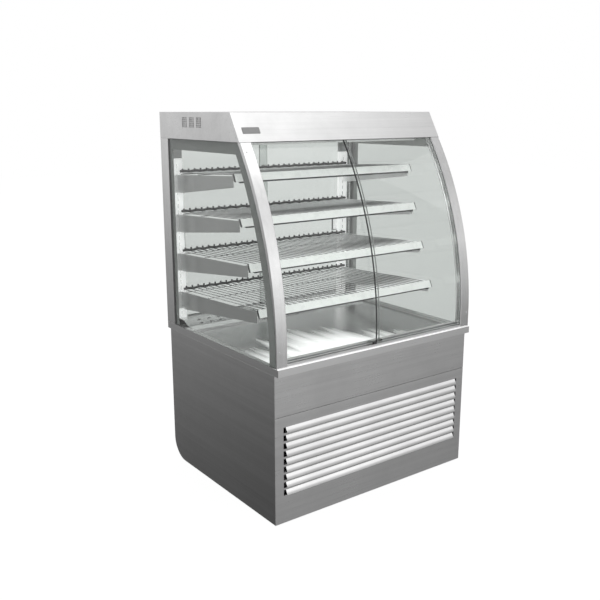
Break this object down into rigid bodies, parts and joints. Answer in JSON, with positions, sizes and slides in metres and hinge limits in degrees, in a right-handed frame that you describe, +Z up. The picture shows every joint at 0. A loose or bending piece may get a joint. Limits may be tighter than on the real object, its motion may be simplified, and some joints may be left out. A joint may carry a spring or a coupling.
{
  "type": "refrigerated display case",
  "caption": "Free-standing refrigerated display case with a curved sliding glass front, tilted wire shelves, a cold deck and a louvred base.",
  "frame": {"origin": "on the floor, under the middle of the whole case", "axes": "+X to the right seen from the front, +Y to the back, +Z up"},
  "size_m": [0.895, 0.751, 1.35],
  "materials": {
    "anodised_aluminium": "anodised",
    "black_plastic": "matt",
    "bright_stainless": "satin",
    "brushed_stainless": "brushed",
    "chromed_wire": "bright chrome",
    "clear_glass": "polished",
    "coil_fins": "mill",
    "compressor_paint": "satin black",
    "dark_enamel": "matt enamel",
    "foam_liner": "foam",
    "galvanised_sheet": "galvanised",
    "grey_plastic": "matt",
    "lamp_diffuser": "frosted",
    "white_strip": "gloss"
  },
  "bodies": {
    "cabinet": {"base_back": "brushed_stainless", "base_floor": "galvanised_sheet", "base_side_left": "brushed_stainless", "base_side_right": "brushed_stainless", "cable_gland": "black_plastic", "compressor": "compressor_paint", "condenser_coil": "coil_fins", "controller_housing": "black_plastic", "deck_floor": "bright_stainless", "drain_pan": "grey_plastic", "end_frame_left": "brushed_stainless", "end_frame_right": "brushed_stainless", "evaporator_coil": "coil_fins", "evaporator_fan_frames": "black_plastic", "fan_motor": "galvanised_sheet", "fan_shroud": "galvanised_sheet", "front_track_bottom": "anodised_aluminium", "front_track_top": "anodised_aluminium", "front_upper_panel": "brushed_stainless", "hood_lamp": "anodised_aluminium", "hood_lamp_lens": "lamp_diffuser", "hood_shell": "brushed_stainless", "hood_underside": "brushed_stainless", "insulated_well": "foam_liner", "lamp_driver": "grey_plastic", "levelling_feet": "galvanised_sheet", "louvre_panel": "brushed_stainless", "rear_duct_cover": "bright_stainless", "rear_posts": "brushed_stainless", "rear_track_bottom": "anodised_aluminium", "rear_track_top": "anodised_aluminium", "shelf_brackets": "bright_stainless", "shelf_lamps": "black_plastic", "shelf_rack_1": "chromed_wire", "shelf_rack_2": "chromed_wire", "shelf_rack_3": "chromed_wire", "shelf_rack_4": "chromed_wire", "side_borders": "dark_enamel", "side_glass": "clear_glass", "strip_end_caps": "black_plastic", "switch_frames": "black_plastic", "ticket_strips": "white_strip", "upright_heads": "grey_plastic", "uprights": "bright_stainless", "worktop_rim": "brushed_stainless"},
    "front_door_left": {"front_door_left": "clear_glass", "front_door_clip_left": "black_plastic"},
    "front_door_right": {"front_door_right": "clear_glass", "front_door_clip_right": "black_plastic"},
    "rear_door_left": {"rear_door_left": "clear_glass", "rear_pull_left": "anodised_aluminium"},
    "rear_door_right": {"rear_door_right": "clear_glass", "rear_pull_right": "anodised_aluminium"},
    "evaporator_fan_left": {"evaporator_fan_left": "black_plastic"},
    "evaporator_fan_right": {"evaporator_fan_right": "black_plastic"},
    "condenser_fan": {"condenser_fan": "black_plastic"},
    "controller_key_left": {"controller_key_left": "grey_plastic"},
    "controller_key_right": {"controller_key_right": "grey_plastic"},
    "power_rocker": {"power_rocker": "black_plastic"},
    "light_rocker": {"light_rocker": "black_plastic"}
  },
  "joints": [
    {"name": "front_left_slide", "type": "slide", "parent": "cabinet", "child": "front_door_left", "axis": [1, 0, 0], "range_m": [0, 0.38]},
    {"name": "front_right_slide", "type": "slide", "parent": "cabinet", "child": "front_door_right", "axis": [1, 0, 0], "range_m": [-0.37, 0]},
    {"name": "rear_left_slide", "type": "slide", "parent": "cabinet", "child": "rear_door_left", "axis": [1, 0, 0], "range_m": [0, 0.41]},
    {"name": "rear_right_slide", "type": "slide", "parent": "cabinet", "child": "rear_door_right", "axis": [1, 0, 0], "range_m": [-0.41, 0]},
    {"name": "evaporator_fan_left_spin", "type": "hinge", "parent": "cabinet", "child": "evaporator_fan_left", "pos_m": [-0.13, -0.0535, 0.476], "axis": [0, 1, 0], "continuous": true},
    {"name": "evaporator_fan_right_spin", "type": "hinge", "parent": "cabinet", "child": "evaporator_fan_right", "pos_m": [0.13, -0.0535, 0.476], "axis": [0, 1, 0], "continuous": true},
    {"name": "condenser_fan_spin", "type": "hinge", "parent": "cabinet", "child": "condenser_fan", "pos_m": [-0.12001, -0.2285, 0.13], "axis": [0, 1, 0], "continuous": true},
    {"name": "key_left_press", "type": "slide", "parent": "cabinet", "child": "controller_key_left", "axis": [0, -1, 0], "range_m": [0, 0.0015], "stiffness_N_per_m": 300},
    {"name": "key_right_press", "type": "slide", "parent": "cabinet", "child": "controller_key_right", "axis": [0, -1, 0], "range_m": [0, 0.0015], "stiffness_N_per_m": 300},
    {"name": "power_rocker_turn", "type": "hinge", "parent": "cabinet", "child": "power_rocker", "pos_m": [0.33, 0.3485, 0.462], "axis": [1, 0, 0], "range_deg": [-8, 8]},
    {"name": "light_rocker_turn", "type": "hinge", "parent": "cabinet", "child": "light_rocker", "pos_m": [0.364, 0.3485, 0.462], "axis": [1, 0, 0], "range_deg": [-8, 8]}
  ]
}
